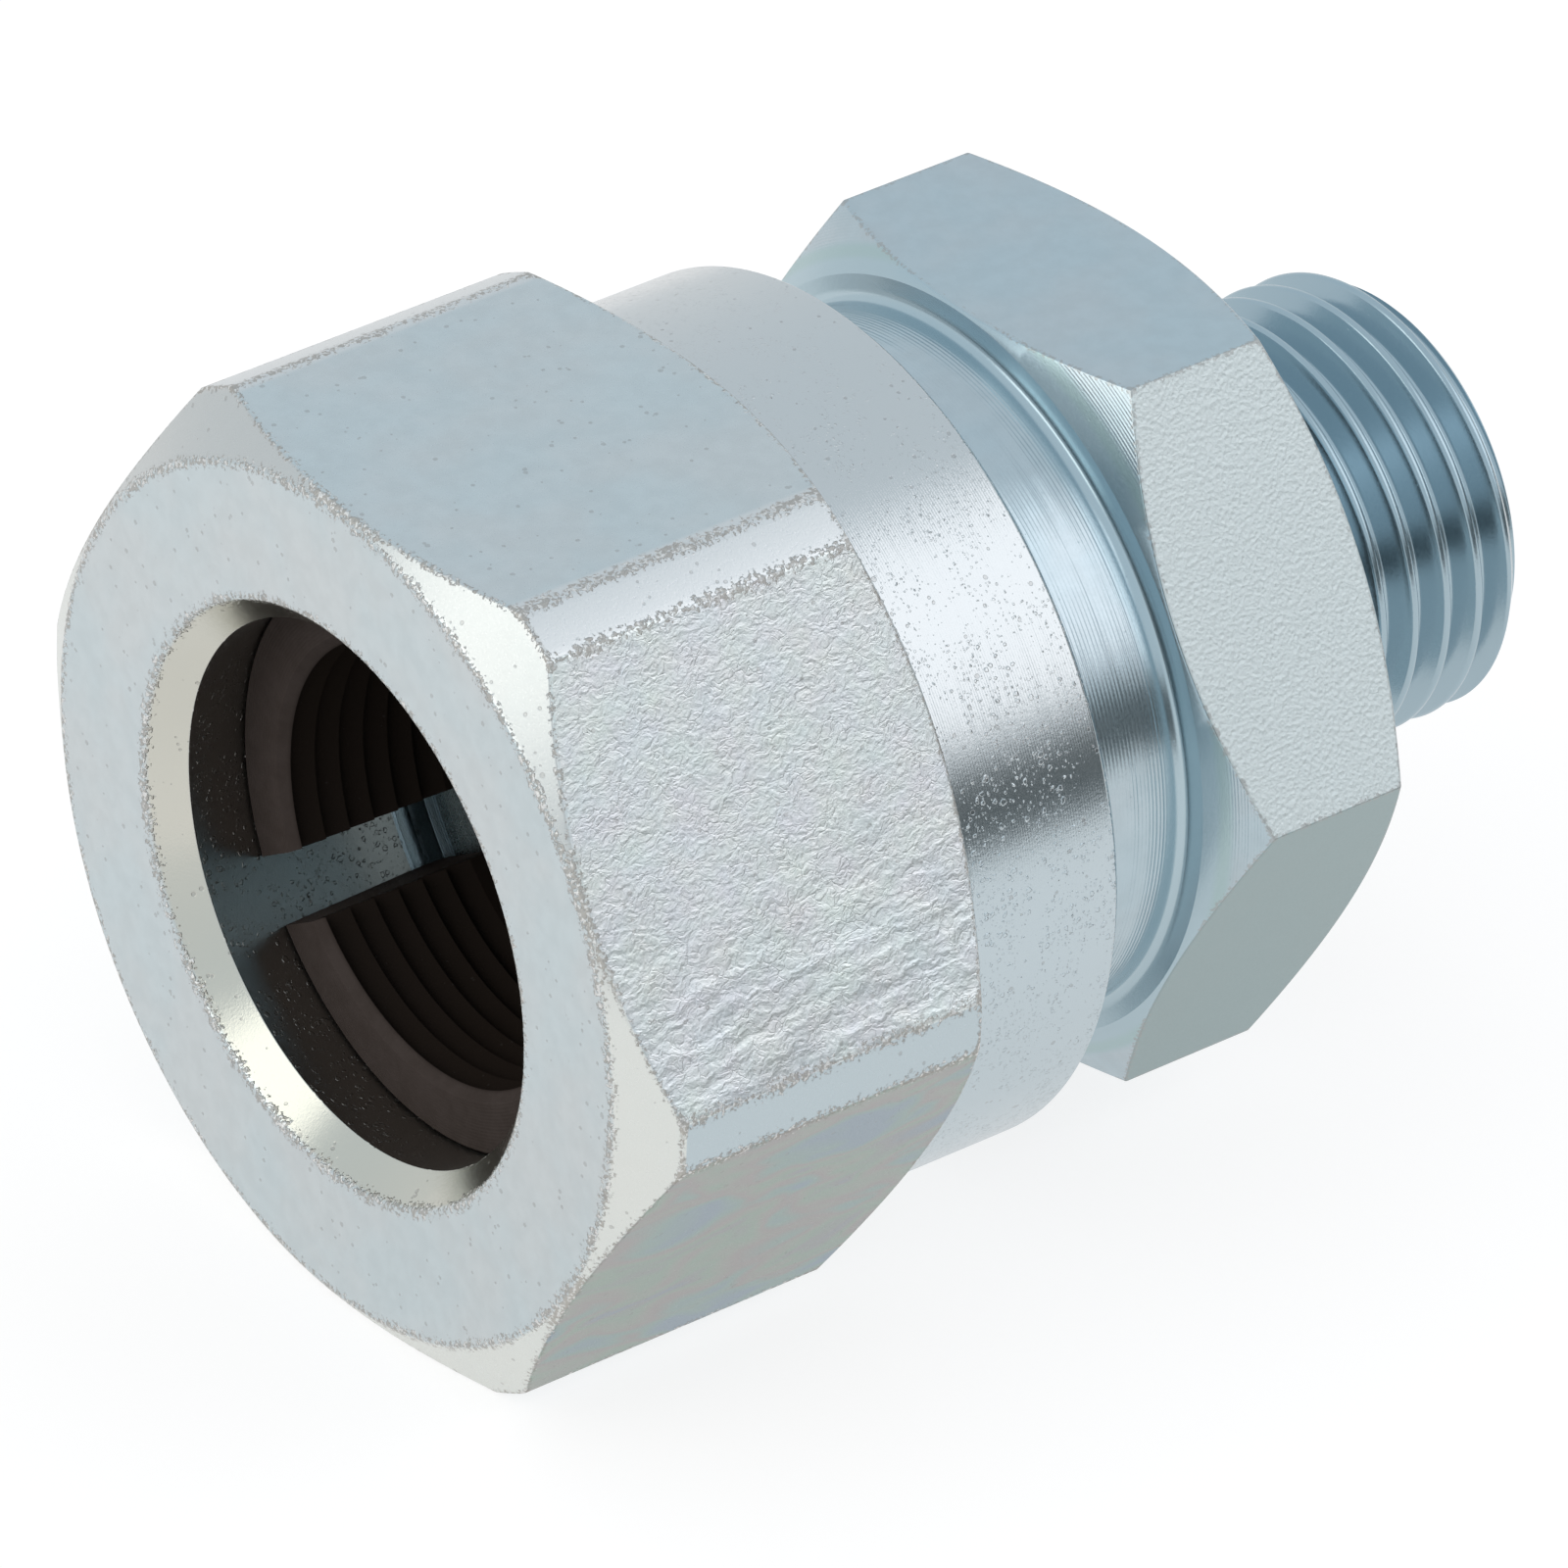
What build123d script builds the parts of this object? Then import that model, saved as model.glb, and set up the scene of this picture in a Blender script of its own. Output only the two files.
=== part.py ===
from build123d import *
import math
import os

# Straight male stud fitting for plain-end tube, lying on one flat of its union nut.
# The axis of the fitting is X. The stud points along +X, the tube enters from -X,
# +Z is up, and the origin is on the axis in the plane of the port face, which is the
# rear face of the body's hexagon. All sizes are in millimetres.

# ---- driving dimensions: body -------------------------------------------------
body_af = 35.6             # across the flats of the body's hexagon
body_turn_deg = -3.6       # how far the body's hexagon is turned from the nut's
body_hex_len = 10.4        # hexagon, face to face
body_face_d = 35.3         # turned face left inside the hexagon's chamfer, both ends
body_chamfer_deg = 30.0    # slope of the hexagon's end chamfers
body_chamfer_margin = 0.5  # how far the chamfering outline runs past the sharp corners
barrel_len = 19.0          # hexagon's front face to the barrel's front face
barrel_fillet_r = 1.2      # root of the barrel at the hexagon
shank_d = 32.8             # plain shank between the nut thread and the hexagon
nut_thread_d = 33.0        # outside diameter of the thread that carries the nut
nut_thread_len = 12.1      # that thread, from the barrel's front face
nut_thread_chamfer = 0.9   # its lead-in chamfer

# ---- driving dimensions: bores of the body ------------------------------------
tube_d = 20.0              # outside diameter of the tube that the fitting takes
socket_clear = 0.15        # radial clearance of the tube in its socket
socket_len = 9.5           # guided length of the tube behind the seal chamber
chamber_d = 28.2           # seal chamber in the barrel's front
chamber_len = 5.8          # cylindrical part of the chamber
chamber_cone_len = 2.2     # cone that squeezes the seal inwards
flow_bore_d = 15.0         # flow bore through hexagon and stud

# ---- driving dimensions: stud -------------------------------------------------
stud_d = 20.75             # outside diameter of the G 1/2 thread
stud_len = 14.0            # port face to the end of the stud
stud_chamfer = 1.2         # lead-in chamfer at its end
stud_threads_per_inch = 14
stud_flank_deg = 27.5      # slope of the thread's flanks
stud_crest_at = 0.85       # pitches from the port face to a crest, over the body's upper flat
thread_cut_over = 0.1      # how far the thread cutter stands out of the stud
undercut_d = 18.4          # thread run-out next to the port face
undercut_len = 2.4
face_groove_d = 24.2       # groove in the port face for the stud seal
face_groove_depth = 1.3
stud_seal_proud = 0.2      # how far the stud seal stands out of the port face

# ---- driving dimensions: union nut --------------------------------------------
nut_af = 41.0              # across the flats of the nut's hexagon
nut_corner_d = 45.9        # diameter to which the nut's six corners are turned
nut_len = 27.4             # front face to the end of the collar
nut_hex_len = 19.4         # front face to the step down to the collar
nut_face_d = 40.3          # turned front face inside the chamfer
nut_chamfer_deg = 32.0     # slope of the hexagon's end chamfers
collar_d = 40.4            # round collar behind the hexagon
collar_edge = 0.3          # broken edge at the collar's end
nut_gap = 6.5              # collar's end to the body's hexagon, nut hand tight
mouth_d = 25.2             # smallest bore, at the lip
mouth_chamfer_d = 27.9     # chamfered mouth at the front face
mouth_depth = 1.5          # front face to the lip
cone_deg = 11.0            # slope of the inner cone that closes the grip ring
relief_len = 2.2           # run-out between the cone and the barrel's front face
thread_clear = 0.08        # radial running clearance between nut and barrel thread
rear_bore_d = 33.8         # plain counterbore behind the nut's thread
rear_bore_len = 3.5

# ---- driving dimensions: grip ring, pressure ring, tube seal --------------------
ring_len = 9.55            # length of the grip ring
ring_bore_d = 20.6         # over the tips of its teeth
ring_tooth_depth = 0.55
ring_tooth_pitch = 1.3
ring_tooth_back = 0.15     # length of the steep side of a tooth
ring_lip = 0.45            # chamfer at both ends of its bore
ring_rear_chamfer = 0.5    # outside chamfer at its rear end
ring_slot_w = 3.2          # the slot that lets the ring close
ring_slot_deg = -34.7      # where the slot stands, from +Y towards +Z
cone_clear = 0.1           # radial clearance between grip ring and nut cone
ring_gap = 0.2             # grip ring to pressure ring
pressure_len = 2.0         # thickness of the pressure ring
pressure_proud = 0.3       # how far it stands out of the barrel
seat_clear = 0.1           # clearance of the pressure ring and the seals in their seats
seal_tube_clear = 0.35     # radial clearance of pressure ring and seal round the tube

# ---- places along X, worked out from the sizes -----------------------------------
hex_front = -body_hex_len
barrel_front = hex_front - barrel_len
chamber_end = barrel_front + chamber_len
cone_end = chamber_end + chamber_cone_len
tube_stop = cone_end + socket_len
thread_end = barrel_front + nut_thread_len

nut_rear = hex_front - nut_gap
nut_front = nut_rear - nut_len
nut_step = nut_front + nut_hex_len
lip_x = nut_front + mouth_depth
relief_start = barrel_front - relief_len
rear_bore_start = nut_rear - rear_bore_len

stud_pitch = 25.4 / stud_threads_per_inch
stud_thread_start = undercut_len / 2

pressure_front = barrel_front - pressure_proud
pressure_rear = pressure_front + pressure_len
ring_rear = pressure_front - ring_gap
ring_front = ring_rear - ring_len
seal_front = pressure_rear + seat_clear

# ---- radii ------------------------------------------------------------------------
body_corner_r = body_af / 2 / math.cos(math.radians(30)) + body_chamfer_margin
socket_r = tube_d / 2 + socket_clear
chamber_r = chamber_d / 2
flow_r = flow_bore_d / 2
nut_corner_r = nut_corner_d / 2
nut_bore_r = nut_thread_d / 2 + thread_clear
seal_bore_r = tube_d / 2 + seal_tube_clear
stud_flank = math.tan(math.radians(stud_flank_deg))
stud_root_r = stud_d / 2 - stud_pitch / 3 / stud_flank
stud_cutter_r = stud_d / 2 + thread_cut_over


def nut_cone_r(x):
    """Radius of the nut's inner cone at a place on the axis."""
    return mouth_d / 2 + (x - lip_x) * math.tan(math.radians(cone_deg))


def ring_cone_r(x):
    """Radius of the grip ring's outside, which seats in the nut's cone."""
    return nut_cone_r(x) - cone_clear


def hex_envelope(x_front, x_rear, front_r, rear_r, corner_r, slope_deg):
    """Outline (x, r) of the turned shape that chamfers both ends of a hexagon."""
    slope = math.tan(math.radians(slope_deg))
    return [
        (x_front, 0),
        (x_front, front_r),
        (x_front + (corner_r - front_r) * slope, corner_r),
        (x_rear - (corner_r - rear_r) * slope, corner_r),
        (x_rear, rear_r),
        (x_rear, 0),
    ]


os.makedirs("parts", exist_ok=True)

# ---- one turn of the groove of the stud's thread, cut round +Z; crests and roots are flat ----
root_half = stud_pitch / 12
cutter_half = root_half + (stud_cutter_r - stud_root_r) * stud_flank

with BuildPart() as thread_turn:
    with BuildLine() as groove_path:
        Helix(stud_pitch, stud_pitch, stud_root_r)
    with BuildSketch(Plane.XZ):
        with BuildLine():
            Polyline(
                (stud_root_r, -root_half),
                (stud_root_r, root_half),
                (stud_cutter_r, cutter_half),
                (stud_cutter_r, -cutter_half),
                close=True,
            )
        make_face()
    sweep(path=groove_path.line, is_frenet=True)

# ---- body: hexagon, barrel and stud in one piece ------------------------------------
with BuildPart() as fitting_body:
    with BuildSketch(Plane.YZ.offset(hex_front)):
        RegularPolygon(body_af / 2, 6, major_radius=False, rotation=body_turn_deg)
    extrude(amount=body_hex_len)
    with BuildSketch(Plane.XZ):
        with BuildLine():
            Polyline(
                *hex_envelope(hex_front, 0, body_face_d / 2, body_face_d / 2,
                              body_corner_r, body_chamfer_deg),
                close=True,
            )
        make_face()
    revolve(axis=Axis.X, mode=Mode.INTERSECT)

    with BuildSketch(Plane.XZ):
        with BuildLine():
            Polyline(
                (hex_front, 0),
                (hex_front, shank_d / 2),
                (thread_end, shank_d / 2),
                (thread_end, nut_thread_d / 2),
                (barrel_front + nut_thread_chamfer, nut_thread_d / 2),
                (barrel_front, nut_thread_d / 2 - nut_thread_chamfer),
                (barrel_front, 0),
                close=True,
            )
        make_face()
    revolve(axis=Axis.X)
    hex_front_edges = fitting_body.edges().filter_by(GeomType.CIRCLE).filter_by_position(
        Axis.X, hex_front, hex_front
    )
    fillet(hex_front_edges.sort_by(SortBy.RADIUS)[0], barrel_fillet_r)

    with BuildSketch(Plane.XZ):
        with BuildLine():
            Polyline(
                (0, 0),
                (0, undercut_d / 2),
                (undercut_len, undercut_d / 2),
                (undercut_len + (stud_d - undercut_d) / 2, stud_d / 2),
                (stud_len - stud_chamfer, stud_d / 2),
                (stud_len, stud_d / 2 - stud_chamfer),
                (stud_len, 0),
                close=True,
            )
        make_face()
    revolve(axis=Axis.X)

    with BuildSketch(Plane.XZ):
        with BuildLine():
            Polyline(
                (barrel_front, 0),
                (barrel_front, chamber_r),
                (chamber_end, chamber_r),
                (cone_end, socket_r),
                (tube_stop, socket_r),
                (tube_stop, flow_r),
                (stud_len, flow_r),
                (stud_len, 0),
                close=True,
            )
        make_face()
    revolve(axis=Axis.X, mode=Mode.SUBTRACT)

    with BuildSketch(Plane.YZ):
        Circle(face_groove_d / 2)
        Circle(undercut_d / 2, mode=Mode.SUBTRACT)
    extrude(amount=-face_groove_depth, mode=Mode.SUBTRACT)

    groove_turns = stud_thread_start / stud_pitch - stud_crest_at - 0.5
    groove_angle = math.radians(90 + body_turn_deg + 360 * groove_turns)
    for turn in range(math.ceil((stud_len - stud_thread_start) / stud_pitch)):
        turn_plane = Plane(
            origin=(stud_thread_start + turn * stud_pitch, 0, 0),
            x_dir=(0, math.cos(groove_angle), math.sin(groove_angle)),
            z_dir=(1, 0, 0),
        )
        add(turn_plane.location * thread_turn.part, mode=Mode.SUBTRACT)
fitting_body.part.label = "fitting_body"

# ---- union nut -------------------------------------------------------------------------
with BuildPart() as union_nut:
    with BuildSketch(Plane.YZ.offset(nut_front)):
        RegularPolygon(nut_af / 2, 6, major_radius=False)
    extrude(amount=nut_hex_len)
    with BuildSketch(Plane.XZ):
        with BuildLine():
            Polyline(
                *hex_envelope(nut_front, nut_step, nut_face_d / 2, collar_d / 2,
                              nut_corner_r, nut_chamfer_deg),
                close=True,
            )
        make_face()
    revolve(axis=Axis.X, mode=Mode.INTERSECT)

    with BuildSketch(Plane.YZ.offset(nut_step)):
        Circle(collar_d / 2)
    extrude(amount=nut_rear - nut_step)
    collar_end = union_nut.faces().sort_by(Axis.X)[-1].edges()
    chamfer(collar_end, collar_edge)

    with BuildSketch(Plane.XZ):
        with BuildLine():
            Polyline(
                (nut_front, 0),
                (nut_front, mouth_chamfer_d / 2),
                (lip_x, mouth_d / 2),
                (relief_start, nut_cone_r(relief_start)),
                (relief_start, nut_bore_r),
                (rear_bore_start, nut_bore_r),
                (rear_bore_start, rear_bore_d / 2),
                (nut_rear, rear_bore_d / 2),
                (nut_rear, 0),
                close=True,
            )
        make_face()
    revolve(axis=Axis.X, mode=Mode.SUBTRACT)
union_nut.part.label = "union_nut"

# ---- grip ring: cone outside, saw teeth inside, one slot through its whole length -------
tip_r = ring_bore_d / 2
root_r = tip_r + ring_tooth_depth
teeth_start = ring_front + ring_lip
tooth_count = int((ring_len - 2 * ring_lip) // ring_tooth_pitch)
teeth_end = teeth_start + tooth_count * ring_tooth_pitch

with BuildPart() as grip_ring:
    with BuildSketch(Plane.XZ):
        with BuildLine():
            bore_line = [(ring_front, tip_r + ring_lip), (teeth_start, tip_r)]
            for tooth in range(tooth_count):
                tip_x = teeth_start + tooth * ring_tooth_pitch
                bore_line += [
                    (tip_x + ring_tooth_back, root_r),
                    (tip_x + ring_tooth_pitch, tip_r),
                ]
            Polyline(
                *bore_line,
                (ring_rear - ring_lip, tip_r),
                (ring_rear, tip_r + ring_lip),
                (ring_rear, ring_cone_r(relief_start) - ring_rear_chamfer),
                (ring_rear - ring_rear_chamfer, ring_cone_r(relief_start)),
                (relief_start, ring_cone_r(relief_start)),
                (ring_front, ring_cone_r(ring_front)),
                close=True,
            )
        make_face()
    revolve(axis=Axis.X)
    slot_plane = Plane(
        origin=(ring_front, 0, 0),
        x_dir=(0, math.cos(math.radians(ring_slot_deg)), math.sin(math.radians(ring_slot_deg))),
        z_dir=(1, 0, 0),
    )
    with BuildSketch(slot_plane):
        Rectangle(nut_corner_r, ring_slot_w, align=(Align.MIN, Align.CENTER))
    extrude(amount=ring_len, mode=Mode.SUBTRACT)
grip_ring.part.label = "grip_ring"

# ---- pressure ring ------------------------------------------------------------------------
with BuildPart() as pressure_ring:
    with BuildSketch(Plane.YZ.offset(pressure_front)):
        Circle(chamber_r - seat_clear)
        Circle(seal_bore_r, mode=Mode.SUBTRACT)
    extrude(amount=pressure_len)
    chamfer(pressure_ring.edges().filter_by(GeomType.CIRCLE), seat_clear)
pressure_ring.part.label = "pressure_ring"

# ---- tube seal: elastomer ring that fills the chamber and its cone ---------------------------
cone_slope = (chamber_r - socket_r) / chamber_cone_len
seal_tip_r = seal_bore_r + seat_clear
seal_tip_x = cone_end - (seal_tip_r - socket_r) / cone_slope - seat_clear

with BuildPart() as tube_seal:
    with BuildSketch(Plane.XZ):
        with BuildLine():
            Polyline(
                (seal_front, seal_bore_r),
                (seal_front, chamber_r - seat_clear),
                (chamber_end - seat_clear, chamber_r - seat_clear),
                (seal_tip_x, seal_tip_r),
                (seal_tip_x - seat_clear, seal_bore_r),
                close=True,
            )
        make_face()
    revolve(axis=Axis.X)
tube_seal.part.label = "tube_seal"

# ---- stud seal: elastomer ring in the port face ------------------------------------------------
with BuildPart() as stud_seal:
    with BuildSketch(Plane.YZ.offset(-face_groove_depth)):
        Circle(face_groove_d / 2 - seat_clear)
        Circle(undercut_d / 2 + seat_clear, mode=Mode.SUBTRACT)
    extrude(amount=face_groove_depth + stud_seal_proud)
    chamfer(stud_seal.faces().sort_by(Axis.X)[-1].edges(), stud_seal_proud)
stud_seal.part.label = "stud_seal"

for piece in (fitting_body, union_nut, grip_ring, pressure_ring, tube_seal, stud_seal):
    export_step(piece.part, f"parts/{piece.part.label}.step")
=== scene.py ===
import math

import bpy
from mathutils import Matrix, Vector


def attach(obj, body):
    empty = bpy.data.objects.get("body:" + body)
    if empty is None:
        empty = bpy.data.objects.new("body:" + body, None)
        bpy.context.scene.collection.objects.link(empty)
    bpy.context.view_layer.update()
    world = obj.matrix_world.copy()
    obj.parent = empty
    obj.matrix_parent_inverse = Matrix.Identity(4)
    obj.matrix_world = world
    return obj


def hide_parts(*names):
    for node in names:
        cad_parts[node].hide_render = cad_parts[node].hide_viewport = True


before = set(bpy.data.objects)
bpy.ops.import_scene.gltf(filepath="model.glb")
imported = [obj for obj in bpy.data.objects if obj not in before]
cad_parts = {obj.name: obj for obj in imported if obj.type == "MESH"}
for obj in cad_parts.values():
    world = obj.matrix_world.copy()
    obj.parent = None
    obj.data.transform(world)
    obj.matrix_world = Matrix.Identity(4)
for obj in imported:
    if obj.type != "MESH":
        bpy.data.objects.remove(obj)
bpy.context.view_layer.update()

# A straight stud fitting for plain-end tube. Its axis is X, the stud points along +X, and the
# tube enters the union nut from -X. Lengths below are in millimetres.
MM = 0.001
TAU = 2 * math.pi

# ---- places along the axis ----
NUT_FRONT, NUT_STEP, NUT_REAR = -44.3, -24.9, -16.9
LIP, RELIEF, NUT_COUNTERBORE = -42.8, -31.6, -20.4
RING_FRONT, RING_REAR = -39.45, -29.9
PRESSURE_FRONT, PRESSURE_REAR = -29.7, -27.7
BARREL_FRONT, CHAMBER_END, CONE_END, TUBE_STOP = -29.4, -23.6, -21.4, -11.9
THREAD_END, HEX_FRONT, PORT_FACE = -17.3, -10.4, 0.0
UNDERCUT_END, STUD_END = 2.4, 14.0

# ---- radii and flats ----
NUT_FLAT, NUT_CORNER, NUT_FACE, NUT_SLOPE = 20.5, 22.95, 20.15, 32
COLLAR, NUT_BORE, NUT_COUNTER = 20.2, 16.58, 16.9
MOUTH, MOUTH_CHAMFER, CONE_SLOPE = 12.6, 13.95, 11
BODY_FLAT, BODY_FACE, BODY_SLOPE, BODY_TURN = 17.8, 17.65, 30, -3.6
SHANK, SHANK_FILLET = 16.4, 1.2 / 0.98
BARREL_CREST, BARREL_ROOT, BARREL_PITCH = 16.5, 15.58, 1.5
SOCKET, CHAMBER, FLOW = 10.15, 14.1, 7.5
STUD_CREST, STUD_PITCH, STUD_DEPTH, STUD_PHASE, UNDERCUT = 10.375, 1.8143, 1.162, 0.85, 9.2
RING_TIP, RING_ROOT, RING_TEETH, TOOTH_PITCH, TOOTH_BACK = 10.3, 10.85, 6, 1.3, 0.15
RING_SLOT, RING_SLOT_DEG, RING_LIP, RING_PLAY = 3.2, -34.7, 0.45, 0.1
GROOVE_OUT, GROOVE_DEPTH = 12.1, 1.3
NUT_THREAD_DEPTH, NUT_TAP_START, NUT_TAP_END = 0.85, RELIEF + 1.2, NUT_COUNTERBORE - 0.3
MERGED = 0.002            # points this near to each other become one
BEYOND = 1                # a tool reaches this far past the piece it cuts

# ---- outlines (x, r) of the small rings, and the arc at each numbered corner ----
PRESSURE_RING = [(PRESSURE_FRONT, 10.35), (PRESSURE_FRONT, 14.0), (PRESSURE_REAR, 14.0),
                 (PRESSURE_REAR, 10.35)]
PRESSURE_ARCS = {0: 0.15, 1: 0.15, 2: 0.15, 3: 0.15}
TUBE_SEAL = [(-27.6, 10.35), (-27.6, 14.0), (-23.7, 14.0), (-21.7, 10.5), (-21.8, 10.35),
             (-23.9, 10.35), (-24.3, 10.65), (-24.7, 10.35)]
TUBE_SEAL_ARCS = {0: 0.2, 1: 0.3, 2: 0.3, 3: 0.08, 6: 0.15}
STUD_SEAL = [(-1.3, 9.3), (-1.3, 12.0), (0.0, 12.0), (0.2, 11.8), (0.2, 9.5), (0.0, 9.3)]
STUD_SEAL_ARCS = {0: 0.1, 1: 0.1, 2: 0.15, 3: 0.15, 4: 0.15, 5: 0.15}

# ---- sleeves (x, r) that trim the two threads at their ends and leave their cores out ----
STUD_SLEEVE = [(UNDERCUT_END - 0.1, 8.4), (UNDERCUT_END - 0.1, 9.1),
               (UNDERCUT_END + 1.175, STUD_CREST + 0.01), (STUD_END - 1.2, STUD_CREST + 0.01),
               (STUD_END - 0.07, 9.24), (STUD_END - 0.07, 8.4)]
BARREL_SLEEVE = [(BARREL_FRONT + 0.12, 15.0), (BARREL_FRONT + 0.12, 15.7), (BARREL_FRONT + 0.9, 16.48),
                 (THREAD_END - 0.6, 16.49), (THREAD_END - 0.15, 16.1), (THREAD_END - 0.15, 15.0)]

# ---- flats with a skin or colour of their own, by the way they face: degrees up from +Y; the two at 210 degrees face down and carry painted shade ----
FORGED_FLAT, STAINED_SHADED_FLAT, GRAINY_FLAT, SHADED_FLAT = 150, 210, 150, 210

# ---- colours, linear red, green and blue ----
# the inside colour is painted shade in the nut's bore
# the mouth colour is a painted warm reflection on the mouth chamfer
NUT_ZINC, NUT_MOUTH_WARM_REFLECTION, NUT_INSIDE_SHADE = (0.60, 0.655, 0.675), (0.64, 0.625, 0.55), (0.42, 0.40, 0.365)
# lit and shaded copies picked by height on the nut: the lands lighter on top, the collar bluer low down and
# the front chamfer lighter low down, all painted light and reflection
LAND_SHADE_LOW, LAND_LIGHT_HIGH = (0.54, 0.62, 0.655), (0.71, 0.73, 0.735)
COLLAR_REFLECTION_LOW, COLLAR_REFLECTION_HIGH = (0.56, 0.64, 0.68), (0.625, 0.65, 0.66)
CHAMFER_LIGHT_LOW, CHAMFER_SHADE_HIGH = (0.80, 0.81, 0.765), (0.61, 0.62, 0.61)
FORGED_ZINC, NUT_WORN = (0.85, 0.88, 0.875), (0.40, 0.37, 0.335)
# the glint colour is a painted highlight on the worn rims
PAINTED_GLINT, PIT = (0.86, 0.86, 0.85), (0.30, 0.29, 0.28)
# a thin-film rainbow in dim colours: the rainbow is the film's own, the dimness is painted shade on the
# nut's downward flat
STAIN_AND_SHADE = ((0.32, (0.29, 0.36, 0.42)), (0.38, (0.345, 0.35, 0.355)), (0.44, (0.32, 0.40, 0.345)),
         (0.495, (0.36, 0.38, 0.35)), (0.54, (0.37, 0.345, 0.34)), (0.60, (0.305, 0.40, 0.375)),
         (0.68, (0.29, 0.36, 0.42)))
BODY_ZINC, BODY_BLUE, STUD_BLUE = (0.485, 0.575, 0.625), (0.46, 0.58, 0.635), (0.40, 0.51, 0.57)
# the shaded colour is painted shade on the body's downward flat
FACE_TEAL, GRAINY_ZINC, SHADED_ZINC = (0.43, 0.56, 0.56), (0.71, 0.765, 0.76), (0.30, 0.385, 0.385)
BODY_WORN, PRESSURE_ZINC = (0.40, 0.40, 0.39), (0.52, 0.60, 0.63)
COOL_CLOUD, WARM_CLOUD = (0.50, 0.74, 0.80), (0.80, 0.72, 0.66)
# the bore colour is painted shade in the grip ring's toothed bore
BROWN_DARK, BROWN_LIGHT, BROWN_BORE_SHADE, BROWN_PIT = (
    (0.061, 0.0475, 0.042), (0.073, 0.0575, 0.052), (0.020, 0.0145, 0.0115), (0.07, 0.065, 0.06))
RUBBER_DARK, RUBBER_LIGHT = (0.022, 0.022, 0.023), (0.040, 0.040, 0.042)


# =====================================================================================
#  Modelling
# =====================================================================================
def only(piece):
    """Leaves this one piece selected and active, in object mode."""
    if bpy.context.object and bpy.context.object.mode != "OBJECT":
        bpy.ops.object.mode_set(mode="OBJECT")
    bpy.ops.object.select_all(action="DESELECT")
    if piece:
        piece.select_set(True)
        bpy.context.view_layer.objects.active = piece


def apply(piece, kind, **settings):
    """Adds a modifier with these settings and applies it."""
    only(piece)
    step = piece.modifiers.new(kind.title(), kind)
    for name, value in settings.items():
        setattr(step, name, value)
    bpy.ops.object.modifier_apply(modifier=step.name)


def combine(piece, tool, operation):
    """Cuts, joins or intersects a piece with a tool, and takes the tool away."""
    apply(piece, "BOOLEAN", operation=operation, object=tool, solver="EXACT")
    bpy.data.objects.remove(tool, do_unlink=True)


def rounded(outline, radii, steps=4):
    """The outline with a small arc at each numbered corner."""
    drawn = []
    for number, corner in enumerate(outline):
        radius = radii.get(number, 0)
        if not radius:
            drawn.append(corner)
            continue
        here = Vector(corner)
        before = Vector(outline[number - 1]) - here
        after = Vector(outline[(number + 1) % len(outline)]) - here
        half = before.angle(after) / 2
        reach = min(radius / math.tan(half), 0.49 * before.length, 0.49 * after.length)
        one, two = here + before.normalized() * reach, here + after.normalized() * reach
        for part in range(steps + 1):
            t = part / steps
            point = one * (1 - t) ** 2 + here * (2 * t * (1 - t)) + two * t**2
            drawn.append((point.x, point.y))
    return drawn


def drawn_outline(name, outline, closed):
    """Draws an outline (x, r) above the axis: one vertex, extruded from point to point."""
    only(None)
    bpy.ops.mesh.primitive_plane_add(size=MM, location=(0, 0, 0))
    piece = bpy.context.object
    piece.name = piece.data.name = name
    bpy.ops.object.mode_set(mode="EDIT")
    bpy.ops.mesh.select_mode(type="VERT")
    bpy.ops.mesh.select_all(action="SELECT")
    bpy.ops.mesh.merge(type="CENTER")
    bpy.ops.transform.translate(value=(outline[0][0] * MM, 0, outline[0][1] * MM))
    ends = outline[1:] + outline[:1] if closed else outline[1:]
    for (xa, ra), (xb, rb) in zip(outline, ends):
        bpy.ops.mesh.extrude_region_move(
            TRANSFORM_OT_translate={"value": ((xb - xa) * MM, 0, (rb - ra) * MM)}
        )
    bpy.ops.mesh.select_all(action="SELECT")
    bpy.ops.mesh.remove_doubles(threshold=MERGED * MM)
    return piece


def turned(name, outline, steps=192):
    """A turned solid: the closed outline is spun once round the axis."""
    piece = drawn_outline(name, outline, True)
    bpy.ops.mesh.spin(steps=steps, angle=TAU, center=(0, 0, 0), axis=(1, 0, 0))
    bpy.ops.mesh.select_all(action="SELECT")
    bpy.ops.mesh.remove_doubles(threshold=MERGED * MM)
    bpy.ops.mesh.normals_make_consistent(inside=False)
    bpy.ops.object.mode_set(mode="OBJECT")
    return piece


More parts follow.
